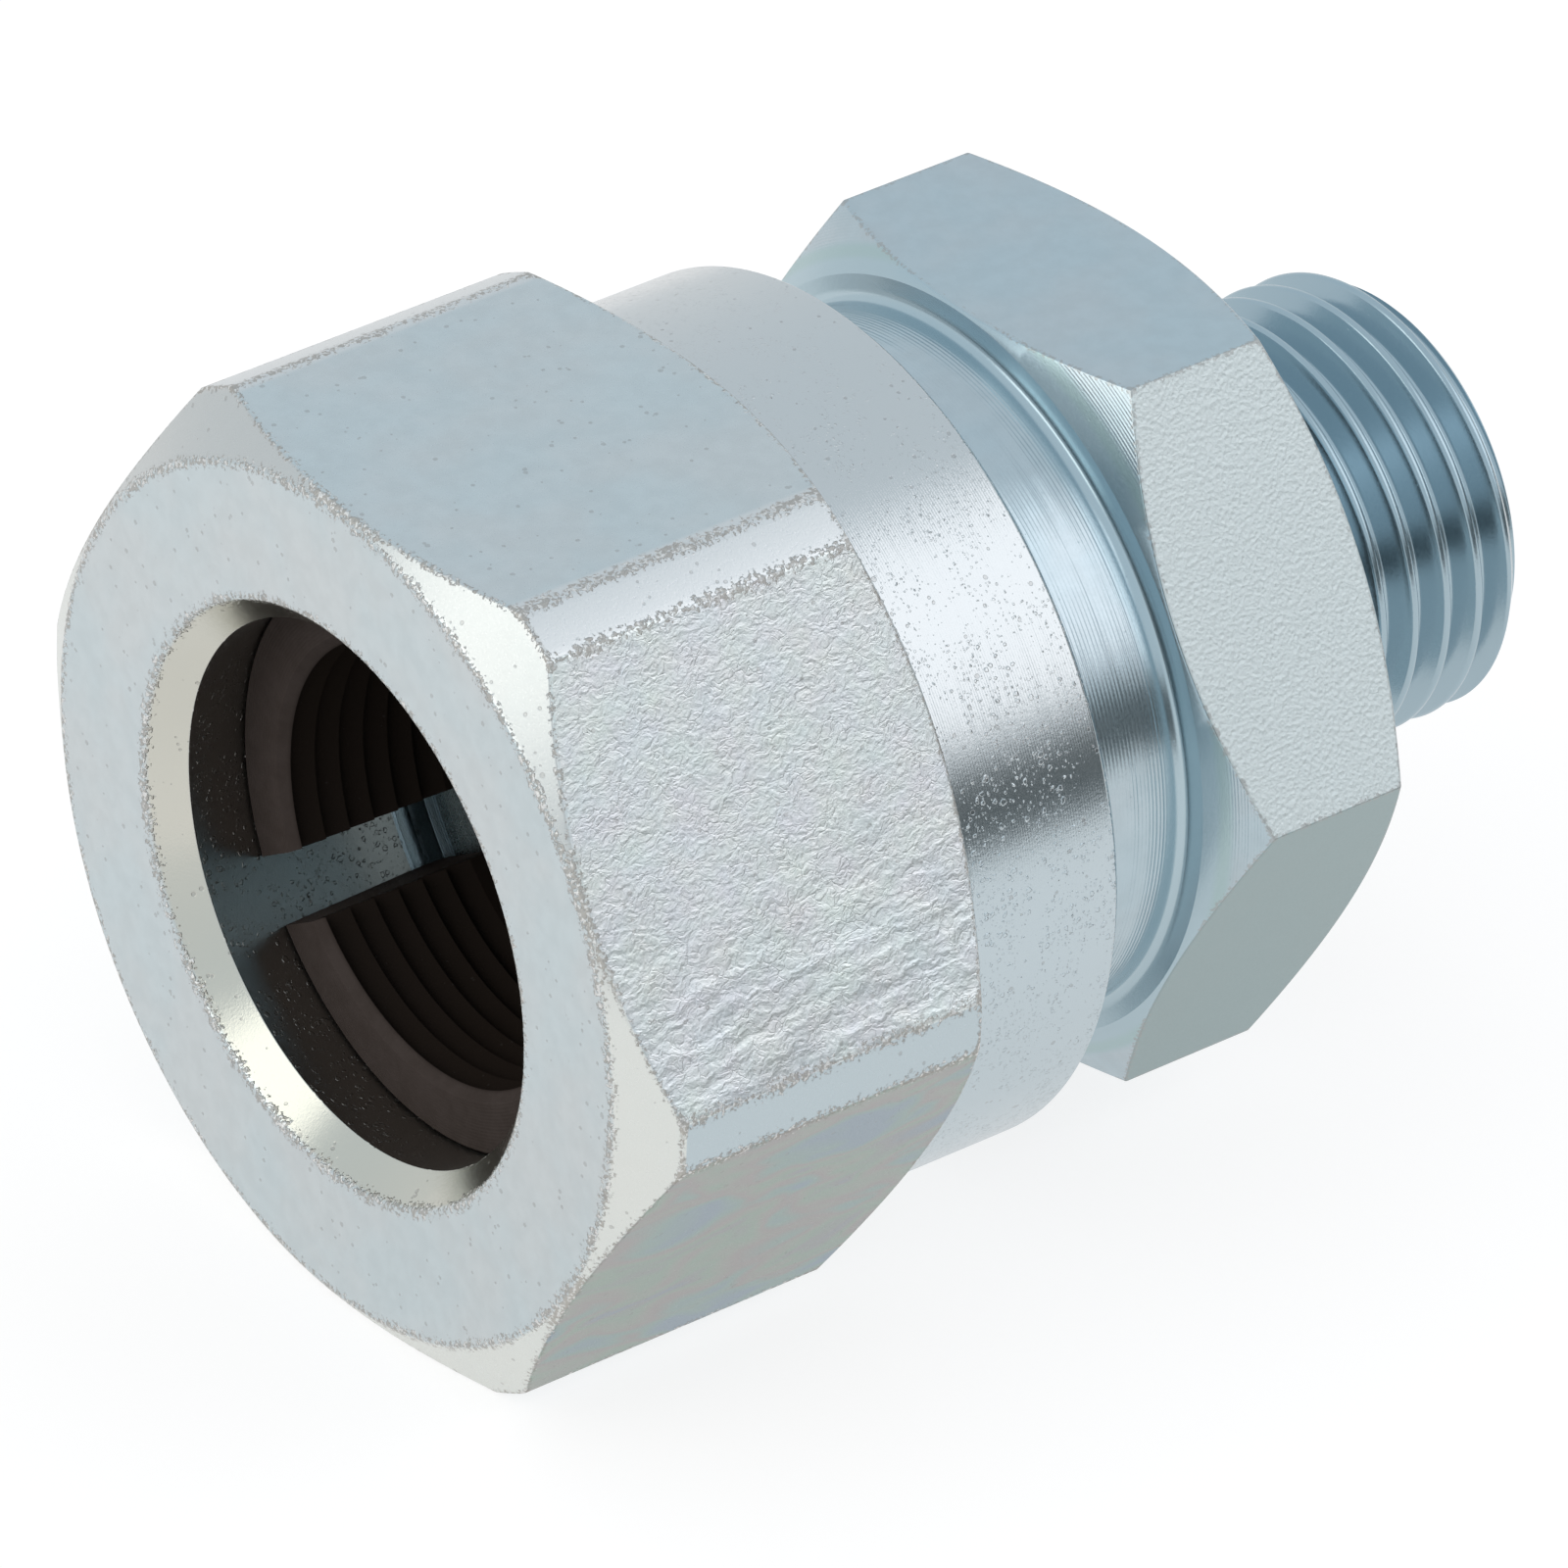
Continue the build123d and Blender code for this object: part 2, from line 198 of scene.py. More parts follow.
def threaded(name, profile, pitch, crest_at, start, end, steps):
    """A threaded rod: one pitch of the profile is screwed along the axis, right-handed,
    and both ends are cut flat. The profile (x, r) starts and ends at a crest's middle."""
    first = crest_at + pitch * (math.floor((start - crest_at) / pitch) - 2)
    piece = drawn_outline(name, [(first + x, r) for x, r in profile], False)
    bpy.ops.object.mode_set(mode="OBJECT")
    turns = math.ceil((end - first) / pitch) + 2
    apply(piece, "SCREW", axis="X", screw_offset=pitch * MM, iterations=turns, steps=steps,
          render_steps=steps, use_merge_vertices=True, merge_threshold=MERGED * MM)
    bpy.ops.object.mode_set(mode="EDIT")
    for place, inner in ((start, True), (end, False)):
        bpy.ops.mesh.select_all(action="SELECT")
        bpy.ops.mesh.remove_doubles(threshold=MERGED * MM)
        bpy.ops.mesh.select_all(action="SELECT")
        bpy.ops.mesh.bisect(plane_co=(place * MM, 0, 0), plane_no=(1, 0, 0), use_fill=True,
                            clear_inner=inner, clear_outer=not inner, threshold=1e-7)
    bpy.ops.mesh.select_all(action="SELECT")
    bpy.ops.mesh.normals_make_consistent(inside=False)
    bpy.ops.object.mode_set(mode="OBJECT")
    return piece


def hexagon_bar(name, flat, start, end):
    """A hexagonal bar along the axis, with a flat on top."""
    only(None)
    bpy.ops.mesh.primitive_cylinder_add(
        vertices=6, radius=flat / math.cos(math.radians(30)) * MM, depth=(end - start) * MM,
        location=((start + end) / 2 * MM, 0, 0), rotation=(0, math.radians(90), 0))
    piece = bpy.context.object
    piece.name = piece.data.name = name
    bpy.ops.object.transform_apply(location=True, rotation=True, scale=True)
    return piece


def soften_flats(piece, flat, width):
    """Rounds the edges all round the six flats."""
    only(piece)
    bpy.ops.object.mode_set(mode="EDIT")
    bpy.ops.mesh.select_mode(type="FACE")
    bpy.ops.mesh.select_all(action="DESELECT")
    bpy.ops.object.mode_set(mode="OBJECT")
    for face in piece.data.polygons:
        off = math.degrees(math.atan2(face.normal.z, face.normal.y))
        on_flat = abs(face.normal.x) < 0.001 and abs(off % 60 - 30) < 0.05
        out = Vector((0, face.normal.y, face.normal.z)).dot(face.center)
        face.select = on_flat and abs(out - flat * MM) < 0.01 * MM
    bpy.ops.object.mode_set(mode="EDIT")
    bpy.ops.mesh.dissolve_limited(angle_limit=math.radians(0.05))
    bpy.ops.mesh.region_to_loop()
    bpy.ops.mesh.remove_doubles(threshold=0.5 * width * MM)
    bpy.ops.mesh.bevel(offset=width * MM, segments=2, affect="EDGES", clamp_overlap=False,
                       miter_outer="ARC")
    bpy.ops.mesh.select_all(action="SELECT")
    bpy.ops.mesh.normals_make_consistent(inside=False)
    bpy.ops.object.mode_set(mode="OBJECT")


def fit_out(piece, body, node, material, angle=30):
    """Shades a finished piece, gives it its material, and puts it in the place of its CAD node."""
    only(piece)
    bpy.ops.object.shade_smooth_by_angle(angle=math.radians(angle))
    apply(piece, "WEIGHTED_NORMAL", keep_sharp=True, weight=80)
    piece.data.materials.clear()
    piece.data.materials.append(material)
    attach(piece, body)
    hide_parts(node)
    return piece


def whitworth(crest, pitch, depth):
    """One pitch of the rounded 55 degree profile, from crest to crest."""
    small = 0.1373 * pitch                     # the radius of crests and roots
    swing = [math.radians((90 - 55 / 2) * part / 3) for part in range(4)]
    crest_side = [(small * math.sin(a), crest - small + small * math.cos(a)) for a in swing]
    root_side = [(pitch / 2 - small * math.sin(a), crest - depth + small - small * math.cos(a))
                 for a in reversed(swing)]
    first_half = crest_side + root_side
    return first_half + [(pitch - x, r) for x, r in reversed(first_half[:-1])]


def sixty_degree(crest, root, pitch):
    """One pitch of the flat-topped 60 degree profile, from crest to crest."""
    flat = pitch / 16
    foot = min(flat + (crest - root) * math.tan(math.radians(30)), pitch / 2 - flat)
    return [(0, crest), (flat, crest), (foot, root), (pitch - foot, root), (pitch - flat, crest),
            (pitch, crest)]


# =====================================================================================
#  Materials: steps of a shader
# =====================================================================================
def connect(tree, socket, value):
    """Links a socket to another one, or sets it to a plain value."""
    if isinstance(value, bpy.types.NodeSocket):
        tree.links.new(value, socket)
    else:
        socket.default_value = value


def maths(tree, operation, *values, clamp=False):
    step = tree.nodes.new("ShaderNodeMath")
    step.operation = operation
    step.use_clamp = clamp
    for socket, value in zip(step.inputs, values):
        connect(tree, socket, value)
    return step.outputs[0]


def times(tree, first, *others):
    for other in others:
        first = maths(tree, "MULTIPLY", first, other)
    return first


def plus(tree, first, *others):
    for other in others:
        first = maths(tree, "ADD", first, other)
    return first


def less(tree, first, other):
    return maths(tree, "SUBTRACT", first, other)


def largest(tree, first, *others):
    for other in others:
        first = maths(tree, "MAXIMUM", first, other)
    return first


def vectors(tree, operation, *values, scale=None):
    step = tree.nodes.new("ShaderNodeVectorMath")
    step.operation = operation
    for socket, value in zip(step.inputs, values):
        connect(tree, socket, value)
    if scale is not None:
        step.inputs["Scale"].default_value = scale
    return step.outputs["Value" if operation == "DOT_PRODUCT" else "Vector"]


def ramp(tree, value, low, high, out_low=0.0, out_high=1.0, smooth=True):
    """Maps low..high to out_low..out_high, and holds the ends."""
    step = tree.nodes.new("ShaderNodeMapRange")
    step.interpolation_type = "SMOOTHSTEP" if smooth else "LINEAR"
    labels = ("Value", "From Min", "From Max", "To Min", "To Max")
    for label, number in zip(labels, (value, low, high, out_low, out_high)):
        connect(tree, step.inputs[label], number)
    return step.outputs["Result"]


def noise(tree, place, scale, detail=2.0, rough=0.5, distortion=0.0, colour=False):
    step = tree.nodes.new("ShaderNodeTexNoise")
    tree.links.new(place, step.inputs["Vector"])
    step.inputs["Scale"].default_value = scale
    step.inputs["Detail"].default_value = detail
    step.inputs["Roughness"].default_value = rough
    step.inputs["Distortion"].default_value = distortion
    return step.outputs["Color" if colour else "Fac"]


def cells(tree, place, scale, feature="F1"):
    """Scattered cells, each with its own colour."""
    step = tree.nodes.new("ShaderNodeTexVoronoi")
    step.feature = feature
    connect(tree, step.inputs["Scale"], scale)
    tree.links.new(place, step.inputs["Vector"])
    return step


def blend_colour(tree, share, one, two):
    """Goes from colour one to colour two by the share."""
    step = tree.nodes.new("ShaderNodeMix")
    step.data_type = "RGBA"
    step.clamp_result = False
    for label, kind, value in (("Factor", "VALUE", share), ("A", "RGBA", one), ("B", "RGBA", two)):
        socket = next(s for s in step.inputs if s.name == label and s.type == kind)
        connect(tree, socket, (*value, 1.0) if isinstance(value, tuple) else value)
    return next(s for s in step.outputs if s.type == "RGBA")


def laid_over(tree, colour, mask, amount, tint):
    """The colour with a tint laid over it, this strong where the mask is 1."""
    return blend_colour(tree, times(tree, mask, amount), colour, tint)


def bump(tree, height, distance, normal=None):
    step = tree.nodes.new("ShaderNodeBump")
    step.inputs["Distance"].default_value = distance * MM
    step.inputs["Strength"].default_value = 1.0
    tree.links.new(height, step.inputs["Height"])
    if normal:
        tree.links.new(normal, step.inputs["Normal"])
    return step.outputs["Normal"]


def new_group(name, inputs, outputs):
    tree = bpy.data.node_groups.new(name, "ShaderNodeTree")
    for label, kind, value in inputs:
        socket = tree.interface.new_socket(name=label, in_out="INPUT", socket_type="NodeSocket" + kind)
        if value is not None:
            socket.default_value = value
    for label, kind in outputs:
        tree.interface.new_socket(name=label, in_out="OUTPUT", socket_type="NodeSocket" + kind)
    start, end = tree.nodes.new("NodeGroupInput"), tree.nodes.new("NodeGroupOutput")
    return tree, start.outputs, end.inputs


def place_group(tree, group, **values):
    step = tree.nodes.new("ShaderNodeGroup")
    step.node_tree = group
    for label, value in values.items():
        connect(tree, step.inputs[label.replace("_", " ")], value)
    return step.outputs


# ---- where a point is on the part ----
def radius_of(tree, place):
    """Distance from the axis, and the place along it."""
    split = tree.nodes.new("ShaderNodeSeparateXYZ")
    tree.links.new(place, split.inputs[0])
    y, z = split.outputs["Y"], split.outputs["Z"]
    return maths(tree, "SQRT", plus(tree, times(tree, y, y), times(tree, z, z))), split.outputs["X"]


def out_towards(tree, place, degrees):
    """How far out from the axis a point is, towards so many degrees up from +Y."""
    way = (0, math.cos(math.radians(degrees)), math.sin(math.radians(degrees)))
    return vectors(tree, "DOT_PRODUCT", place, way)


def out_across_flats(tree, place, degrees):
    """How far out a point is, square to this pair of flats."""
    return maths(tree, "ABSOLUTE", out_towards(tree, place, degrees))


def on_flats(tree, out, flat):
    """1 where the distance out comes up to the flat."""
    return ramp(tree, out, flat - 0.06, flat - 0.02)


def near(tree, distance, width):
    """1 where the distance is nothing, down to 0 at the width."""
    share = maths(tree, "DIVIDE", maths(tree, "ABSOLUTE", distance), width)
    return maths(tree, "SUBTRACT", 1.0, share, clamp=True)


def stretched(tree, place, degrees, along, across):
    """The place turned in the plane of a slanting flat, and stretched along the grain."""
    step = tree.nodes.new("ShaderNodeMapping")
    step.vector_type = "TEXTURE"
    step.inputs["Rotation"].default_value = (0, 0, math.radians(degrees))
    step.inputs["Scale"].default_value = (along, across, across)
    tree.links.new(place, step.inputs["Vector"])
    return step.outputs["Vector"]


# =====================================================================================
#  Materials: shared effects
# =====================================================================================
def make_hexagon_edges():
    """How near a point of a turned hexagon is to an edge: 0 in the open, 1 on the edge."""
    tree, given, result = new_group(
        "Hexagon edges",
        [("Place", "Vector", None), ("Flat", "Float", 20.0), ("Corner", "Float", 23.0),
         ("Front", "Float", 0.0), ("Rear", "Float", 10.0), ("Front Radius", "Float", 19.0),
         ("Rear Radius", "Float", 19.0), ("Slope", "Float", 0.6), ("Width", "Float", 0.5)],
        [("Edge", "Float")])
    radius, along = radius_of(tree, given["Place"])
    away = [less(tree, given["Flat"], out_across_flats(tree, given["Place"], degrees))
            for degrees in (90, 30, 150)]
    away.append(less(tree, given["Corner"], radius))
    from_front = less(tree, along, given["Front"])
    from_rear = less(tree, given["Rear"], along)
    away += [from_front, from_rear]
    square_to_cone = math.sin(math.radians(NUT_SLOPE))
    for depth, start in ((from_front, given["Front Radius"]), (from_rear, given["Rear Radius"])):
        cone = plus(tree, start, maths(tree, "DIVIDE", depth, given["Slope"]))
        away.append(times(tree, less(tree, cone, radius), square_to_cone))
    # every point is near one surface, and near an edge if it is near a second one too
    surfaces = plus(tree, -1.0, *(near(tree, distance, given["Width"]) for distance in away))
    tree.links.new(largest(tree, surfaces, 0.0), result["Edge"])
    return tree


def make_plating():
    """Clear passivated zinc: faint clouds of tint, fine grain and scattered pits."""
    tree, given, result = new_group(
        "Zinc plating",
        [("Place", "Vector", None), ("Tint", "Color", (0.6, 0.65, 0.67, 1)), ("Pits", "Float", 0.5)],
        [("Color", "Color"), ("Grain", "Float"), ("Pits", "Float"), ("Height", "Float")])
    place = given["Place"]
    warm = ramp(tree, noise(tree, place, 0.16, detail=3.0, rough=0.55), 0.35, 0.68)
    clouds = blend_colour(tree, warm, COOL_CLOUD, WARM_CLOUD)
    tinted = blend_colour(tree, 0.09, given["Tint"], clouds)
    patches = ramp(tree, noise(tree, place, 0.9, detail=4.0, rough=0.6), 0.3, 0.7, 0.965, 1.02)
    grain = noise(tree, place, 9.0, detail=3.0, rough=0.7)
    few = ramp(tree, noise(tree, place, 1.3, detail=1.0), 0.45, 0.7)
    size = times(tree, few, given["Pits"], 0.24)
    pit = ramp(tree, less(tree, size, cells(tree, place, 1.9).outputs["Distance"]), -0.02, 0.03)
    tree.links.new(vectors(tree, "MULTIPLY", tinted, patches), result["Color"])
    tree.links.new(grain, result["Grain"])
    tree.links.new(pit, result["Pits"])
    tree.links.new(less(tree, times(tree, grain, 0.5), pit), result["Height"])
    return tree


def make_specks():
    """Small blisters in the plating, thick in some places and absent in others."""
    tree, given, result = new_group(
        "Plating specks",
        [("Place", "Vector", None), ("Scale", "Float", 2.6), ("Amount", "Float", 1.0)],
        [("Speck", "Float")])
    place = given["Place"]
    wander = noise(tree, place, 2.5, detail=2.0, rough=0.6, colour=True)
    wandered = vectors(tree, "ADD", place, vectors(tree, "SCALE", wander, scale=0.3))
    blisters = cells(tree, wandered, given["Scale"])
    split = tree.nodes.new("ShaderNodeSeparateColor")
    tree.links.new(blisters.outputs["Color"], split.inputs["Color"])
    size = ramp(tree, split.outputs["Red"], 0.15, 0.95, 0.0, 0.40, smooth=False)
    spread = ramp(tree, noise(tree, place, 0.4), 0.30, 0.52)
    inside = less(tree, times(tree, size, spread, given["Amount"]), blisters.outputs["Distance"])
    tree.links.new(ramp(tree, inside, -0.03, 0.12), result["Speck"])
    return tree


def make_turning_lines():
    """Fine rings left by the turning tool, on cylinders, cones and faces alike."""
    tree, given, result = new_group(
        "Turning lines", [("Place", "Vector", None), ("Spacing", "Float", 0.2)], [("Height", "Float")])
    radius, along = radius_of(tree, given["Place"])
    feed = plus(tree, along, radius)
    feed_place = tree.nodes.new("ShaderNodeCombineXYZ")
    tree.links.new(feed, feed_place.inputs["X"])
    uneven = noise(tree, feed_place.outputs[0], 1.7, detail=3.0, rough=0.6)
    turn = maths(tree, "DIVIDE", plus(tree, feed, times(tree, uneven, 0.12)), given["Spacing"])
    line = maths(tree, "SINE", times(tree, turn, TAU))
    depth = ramp(tree, uneven, 0.3, 0.7, 0.35, 1.0)
    tree.links.new(times(tree, maths(tree, "MULTIPLY_ADD", line, 0.5, 0.5), depth), result["Height"])
    return tree


def make_speckled_wear():
    """Breaks an even edge mask up into the crumbly rim of worn plating, and scatters painted glints, small
    highlights, over it.
    """
    tree, given, result = new_group(
        "Speckled wear", [("Place", "Vector", None), ("Edge", "Float", 0.0)],
        [("Worn", "Float"), ("Bright", "Float")])
    place = given["Place"]
    reach = times(tree, less(tree, noise(tree, place, 0.45), 0.5), 0.9)
    crumbs = times(tree, less(tree, noise(tree, place, 5.0, detail=2.0, rough=0.55), 0.5), 3.0)
    rim = ramp(tree, plus(tree, given["Edge"], reach, crumbs), 0.62, 0.95)
    worn = times(tree, rim, ramp(tree, given["Edge"], 0.1, 0.5))
    # painted glints: small highlights scattered on the worn rim
    painted_glint = ramp(tree, noise(tree, place, 5.5, detail=1.0), 0.52, 0.60, 0.0, 0.8)
    tree.links.new(worn, result["Worn"])
    tree.links.new(times(tree, worn, painted_glint), result["Bright"])
    return tree


HEXAGON_EDGES = make_hexagon_edges()
PLATING = make_plating()
SPECKS = make_specks()
TURNING_LINES = make_turning_lines()
SPECKLED_WEAR = make_speckled_wear()


# =====================================================================================
#  Materials: the pieces' own
# =====================================================================================
def new_material(name, turn=0.0):
    """An empty material, its shader, and Object coordinates in millimetres, turned with the piece."""
    material = bpy.data.materials.new(name)
    material.use_nodes = True
    tree = material.node_tree
    shader = tree.nodes["Principled BSDF"]
    coordinates = tree.nodes.new("ShaderNodeTexCoord")
    mapping = tree.nodes.new("ShaderNodeMapping")
    mapping.inputs["Scale"].default_value = (1 / MM, 1 / MM, 1 / MM)
    mapping.inputs["Rotation"].default_value = (math.radians(-turn), 0, 0)
    tree.links.new(coordinates.outputs["Object"], mapping.inputs["Vector"])
    return material, tree, shader, mapping.outputs["Vector"]


def nut_edges(tree, place, radius, along, on_hexagon):
    """The hexagon's edges, the rim of the mouth and the collar's end."""
    def ring_edge(x, r, width):
        dx, dr = less(tree, along, x), less(tree, radius, r)
        away = maths(tree, "SQRT", plus(tree, times(tree, dx, dx), times(tree, dr, dr)))
        return near(tree, away, width)
    edges = place_group(tree, HEXAGON_EDGES, Place=place, Flat=NUT_FLAT, Corner=NUT_CORNER,
                        Front=NUT_FRONT, Rear=NUT_STEP, Front_Radius=NUT_FACE, Rear_Radius=COLLAR,
                        Slope=math.tan(math.radians(NUT_SLOPE)), Width=0.31)["Edge"]
    return largest(tree, times(tree, edges, on_hexagon),
                   ring_edge(NUT_FRONT + 0.1, MOUTH_CHAMFER + 0.05, 0.6),
                   ring_edge(NUT_REAR, COLLAR, 0.45))


def forged_skin(tree, place):
    """The height of a forged surface: wrinkles and creases above, long streaks further down."""
    wander = vectors(tree, "SCALE", noise(tree, place, 1.1, colour=True), scale=0.9)
    warp = vectors(tree, "ADD", place, wander)
    wrinkles = noise(tree, stretched(tree, warp, 20, 1.4, 1.0), 4.0, detail=3.0, rough=0.52)
    cracks = cells(tree, stretched(tree, warp, 20, 1.5, 1.0), 2.3, "DISTANCE_TO_EDGE")
    crease = times(tree, ramp(tree, cracks.outputs["Distance"], 0.09, 0.0),
                   ramp(tree, noise(tree, place, 0.9, detail=1.0), 0.45, 0.6))
    streaks = noise(tree, stretched(tree, warp, 12, 8.0, 1.0), 1.3, detail=2.0, rough=0.45)
    down = ramp(tree, out_towards(tree, place, FORGED_FLAT + 90), -1.0, 8.0, 0.3, 2.6)
    streaks = times(tree, less(tree, streaks, 0.5), down)
    return less(tree, plus(tree, wrinkles, streaks), times(tree, crease, 0.2))


def passivation_stain_and_shade(tree, place):
    """The faint rainbow of a thick passivated film, drawn out along the flat, in dim colours: the rainbow
    is the film's own, the dimness is painted shade on this downward flat.
    """
    drift = noise(tree, stretched(tree, place, 14, 2.2, 1.0), 0.26, detail=2.2, distortion=0.5)
    rainbow = tree.nodes.new("ShaderNodeValToRGB")
    first, last = rainbow.color_ramp.elements
    for end, (at, tint) in ((first, STAIN_AND_SHADE[0]), (last, STAIN_AND_SHADE[-1])):
        end.position, end.color = at, (*tint, 1)
    for at, tint in STAIN_AND_SHADE[1:-1]:
        rainbow.color_ramp.elements.new(at).color = (*tint, 1)
    tree.links.new(drift, rainbow.inputs["Fac"])
    return rainbow.outputs["Color"]


def make_nut_zinc():
    material, tree, shader, place = new_material("Zinc plate on the nut")
    radius, along = radius_of(tree, place)
    up = out_towards(tree, place, 90)
    # where things are
    outside = ramp(tree, radius, 16.0, 16.5)
    on_hexagon = times(tree, ramp(tree, along, NUT_STEP + 0.1, NUT_STEP - 0.1), outside)
    collar = times(tree, ramp(tree, along, NUT_STEP - 0.1, NUT_STEP + 0.1), outside)
    # 0 low on the nut and 1 high up: it picks the lit and shaded copies of the land, collar and chamfer
    #                                 colours, painted light
    high = ramp(tree, up, 5.0, 11.0)
    land = ramp(tree, radius, NUT_CORNER - 0.3, NUT_CORNER - 0.15)
    forged_flat = on_flats(tree, out_towards(tree, place, FORGED_FLAT), NUT_FLAT)
    stained_shaded_flat = on_flats(tree, out_towards(tree, place, STAINED_SHADED_FLAT), NUT_FLAT)
    any_flat = ramp(tree, radius, NUT_FLAT - 0.2, NUT_FLAT - 0.1)
    out = largest(tree, *(out_across_flats(tree, place, degrees) for degrees in (30, 90, 150)))
    off_flats = ramp(tree, out, NUT_FLAT - 0.02, NUT_FLAT - 0.06)
    front_of_lip = ramp(tree, along, LIP + 0.05, LIP - 0.05)
    mouth = times(tree, ramp(tree, radius, MOUTH_CHAMFER, MOUTH_CHAMFER - 0.2), front_of_lip)
    inner = times(tree, ramp(tree, radius, 16.3, 16.1), less(tree, 1.0, front_of_lip))
    chamfer = times(tree, ramp(tree, radius, NUT_FACE, NUT_FACE + 0.2),
                    ramp(tree, along, NUT_FRONT + 2.0, NUT_FRONT + 1.9), off_flats)
    # the shared effects
    plate = place_group(tree, PLATING, Place=place, Tint=(*NUT_ZINC, 1), Pits=1.0)
    lines = place_group(tree, TURNING_LINES, Place=place, Spacing=0.13)
    fewer_above = ramp(tree, up, 9.0, 16.0, 1.15, 0.5)
    specks = place_group(tree, SPECKS, Place=place, Scale=3.0, Amount=fewer_above)["Speck"]
    dust = place_group(tree, SPECKS, Place=place, Scale=6.0, Amount=1.0)["Speck"]
    wear = place_group(tree, SPECKLED_WEAR, Place=place,
                       Edge=nut_edges(tree, place, radius, along, on_hexagon))
    forged = forged_skin(tree, place)

    # colour
    # painted light: the lands are lighter on top, darker and bluer below
    colour = blend_colour(tree, land, plate["Color"], blend_colour(tree, high, LAND_SHADE_LOW, LAND_LIGHT_HIGH))
    # painted reflection: the collar is bluer and a little darker low down
    colour = laid_over(tree, colour, collar, 0.9, blend_colour(tree, high, COLLAR_REFLECTION_LOW, COLLAR_REFLECTION_HIGH))
    # thin-film rainbow on the downward flat, in dim colours that are painted shade
    colour = laid_over(tree, colour, stained_shaded_flat, 0.95, passivation_stain_and_shade(tree, place))
    # painted reflection: a warm cream tint on the mouth chamfer, standing in for the left lamp's warm light
    colour = laid_over(tree, colour, mouth, 0.9, NUT_MOUTH_WARM_REFLECTION)
    # painted shade: darker and warmer inside the nut
    colour = laid_over(tree, colour, inner, 0.9, NUT_INSIDE_SHADE)
    tinge = vectors(tree, "SCALE", noise(tree, place, 0.45, detail=3.0, rough=0.6, colour=True), scale=1.75)
    # painted shade in the forged flat's hollows and painted light on its ridges, from the height of the
    # forged skin
    painted_hollow_shade = ramp(tree, forged, 0.1, 0.8, 0.88, 1.06, smooth=False)
    tinged = vectors(tree, "MULTIPLY", blend_colour(tree, 0.07, FORGED_ZINC, tinge), painted_hollow_shade)
    colour = laid_over(tree, colour, forged_flat, 0.9, tinged)
    # painted highlight and shade: the front chamfer facets are lighter low down and darker on top
    colour = laid_over(tree, colour, chamfer, 0.8, blend_colour(tree, high, CHAMFER_LIGHT_LOW, CHAMFER_SHADE_HIGH))
    colour = laid_over(tree, colour, wear["Worn"], 0.7, NUT_WORN)
    # painted glints: small highlights on the worn rims
    colour = blend_colour(tree, wear["Bright"], colour, PAINTED_GLINT)
    colour = laid_over(tree, colour, plate["Pits"], 0.35, PIT)
    tree.links.new(colour, shader.inputs["Base Color"])
    shader.inputs["Metallic"].default_value = 1.0

    # roughness
    rough = plus(tree, ramp(tree, plate["Grain"], 0.3, 0.7, 0.15, 0.21), times(tree, any_flat, 0.12),
                 times(tree, inner, 0.15), times(tree, forged_flat, 0.02), times(tree, wear["Worn"], 0.15))
    tree.links.new(rough, shader.inputs["Roughness"])

    # relief
    blisters = maths(tree, "MULTIPLY_ADD", dust, 0.45, specks)
    blistered = largest(tree, collar, times(tree, inner, 0.6))
    crumbled = noise(tree, place, 5.0, detail=3.0, rough=0.7)
    normal = bump(tree, plate["Height"], 0.012)
    normal = bump(tree, times(tree, blisters, blistered), 0.038, normal)
    normal = bump(tree, times(tree, lines["Height"], collar), 0.004, normal)
    normal = bump(tree, times(tree, forged, forged_flat), 0.026, normal)
    normal = bump(tree, times(tree, crumbled, wear["Worn"]), 0.07, normal)
    tree.links.new(normal, shader.inputs["Normal"])
    return material


